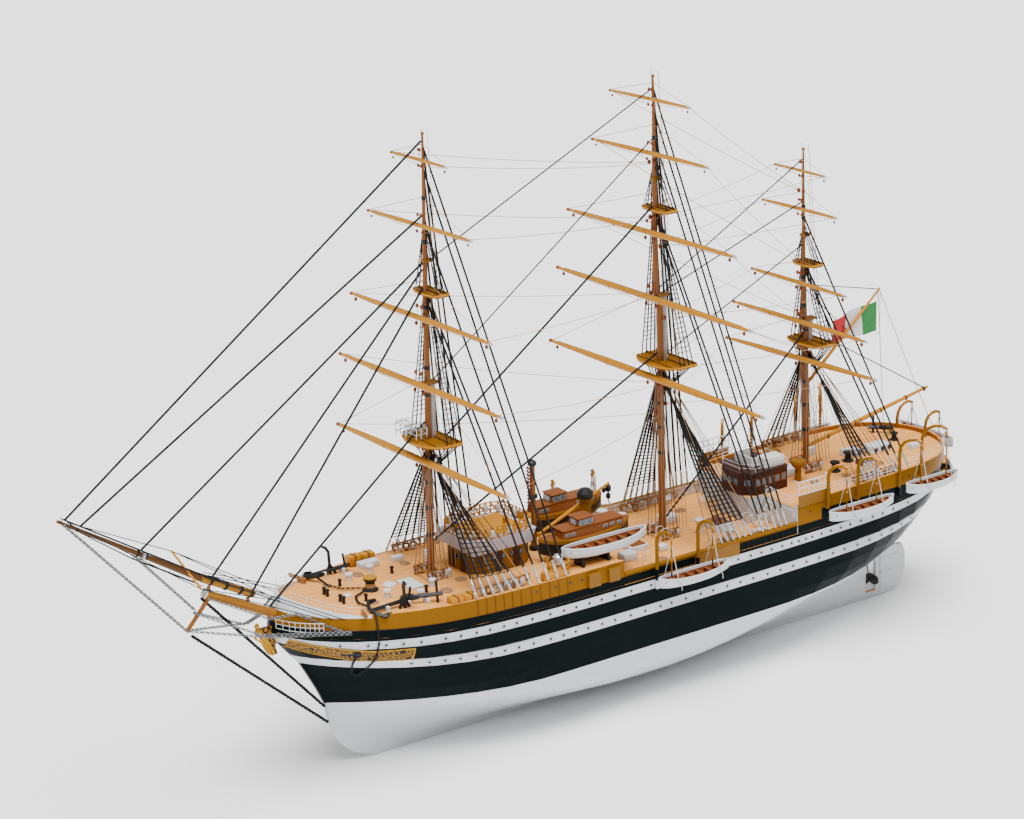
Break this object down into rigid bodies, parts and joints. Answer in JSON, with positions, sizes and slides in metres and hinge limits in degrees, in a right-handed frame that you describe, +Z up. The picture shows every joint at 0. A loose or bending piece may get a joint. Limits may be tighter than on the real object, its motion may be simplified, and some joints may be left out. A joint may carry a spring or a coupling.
{
  "type": "three-masted full-rigged sailing ship display model at 1:84",
  "caption": "Display model of a full-rigged training ship with bare yards, black hull with white bands, boats in davits, rudder and screw.",
  "frame": {"origin": "on the centreline at the waterline, amidships", "axes": "+X forward to the bow, +Y to port, +Z up"},
  "size_m": [1.1823, 0.376, 0.6958],
  "materials": {
    "hull_paint": "black paint, satin",
    "ochre_paint": "ochre paint, satin",
    "dark_wood": "dark varnish",
    "spar_wood": "varnish, satin",
    "yard_paint": "ochre paint, satin",
    "gilding": "gilded",
    "bronze": "dark bronze",
    "white_paint": "white paint, satin",
    "launch_paint": "varnish over a black hull",
    "black_rope": "tarred cord"
  },
  "bodies": {
    "ship": {"hull": "hull_paint", "forecastle": "ochre_paint", "poop": "ochre_paint", "bulwark_port": "ochre_paint", "bulwark_starboard": "ochre_paint", "deckhouse": "ochre_paint", "funnel": "ochre_paint", "wheelhouse": "dark_wood", "derrick_post": "dark_wood", "bowsprit": "spar_wood", "jib_boom": "yard_paint", "fore_lower_mast": "spar_wood", "fore_topmast": "spar_wood", "fore_topgallant": "spar_wood", "main_lower_mast": "spar_wood", "main_topmast": "spar_wood", "main_topgallant": "spar_wood", "mizzen_lower_mast": "spar_wood", "mizzen_topmast": "spar_wood", "mizzen_topgallant": "spar_wood", "fore_lower_yard": "yard_paint", "fore_lower_topsail_yard": "yard_paint", "fore_upper_topsail_yard": "yard_paint", "fore_topgallant_yard": "yard_paint", "fore_royal_yard": "yard_paint", "main_lower_yard": "yard_paint", "main_lower_topsail_yard": "yard_paint", "main_upper_topsail_yard": "yard_paint", "main_topgallant_yard": "yard_paint", "main_royal_yard": "yard_paint", "mizzen_lower_yard": "yard_paint", "mizzen_lower_topsail_yard": "yard_paint", "mizzen_upper_topsail_yard": "yard_paint", "mizzen_topgallant_yard": "yard_paint", "mizzen_royal_yard": "yard_paint", "gaff": "yard_paint", "figurehead": "gilding", "rowing_boat": "white_paint", "jolly_boat": "white_paint", "launch_port": "launch_paint", "launch_starboard": "launch_paint", "gig_port": "white_paint", "gig_starboard": "white_paint", "quarter_boat_port": "white_paint", "quarter_boat_starboard": "white_paint", "stern_boat_port": "white_paint", "stern_boat_starboard": "white_paint", "fore_royal_stay": "black_rope", "fore_topgallant_stay": "black_rope", "outer_jib_stay": "black_rope", "inner_jib_stay": "black_rope", "fore_topmast_stay": "black_rope", "fore_stay": "black_rope", "main_topmast_stay": "black_rope", "main_stay": "black_rope", "mizzen_stay": "black_rope"},
    "rudder": {"rudder": "white_paint"},
    "propeller": {"propeller": "bronze"},
    "spanker_boom": {"spanker_boom": "yard_paint"},
    "derrick_boom": {"derrick_boom": "ochre_paint"}
  },
  "joints": [
    {"name": "rudder_hinge", "type": "hinge", "parent": "ship", "child": "rudder", "pos_m": [-0.3744, 0, -0.04524], "axis": [0, 0, 1], "range_deg": [-35, 35]},
    {"name": "propeller_spin", "type": "hinge", "parent": "ship", "child": "propeller", "pos_m": [-0.35559, 0, -0.04643], "axis": [1, 0, 0], "continuous": true},
    {"name": "spanker_boom_swing", "type": "hinge", "parent": "ship", "child": "spanker_boom", "pos_m": [-0.25161, 0, 0.14595], "axis": [0, 0, 1], "range_deg": [-30, 30]},
    {"name": "derrick_luff", "type": "hinge", "parent": "ship", "child": "derrick_boom", "pos_m": [0.13808, -0.00117, 0.12619], "axis": [-0.1754, 0.9845, 0], "range_deg": [0, 40]}
  ]
}
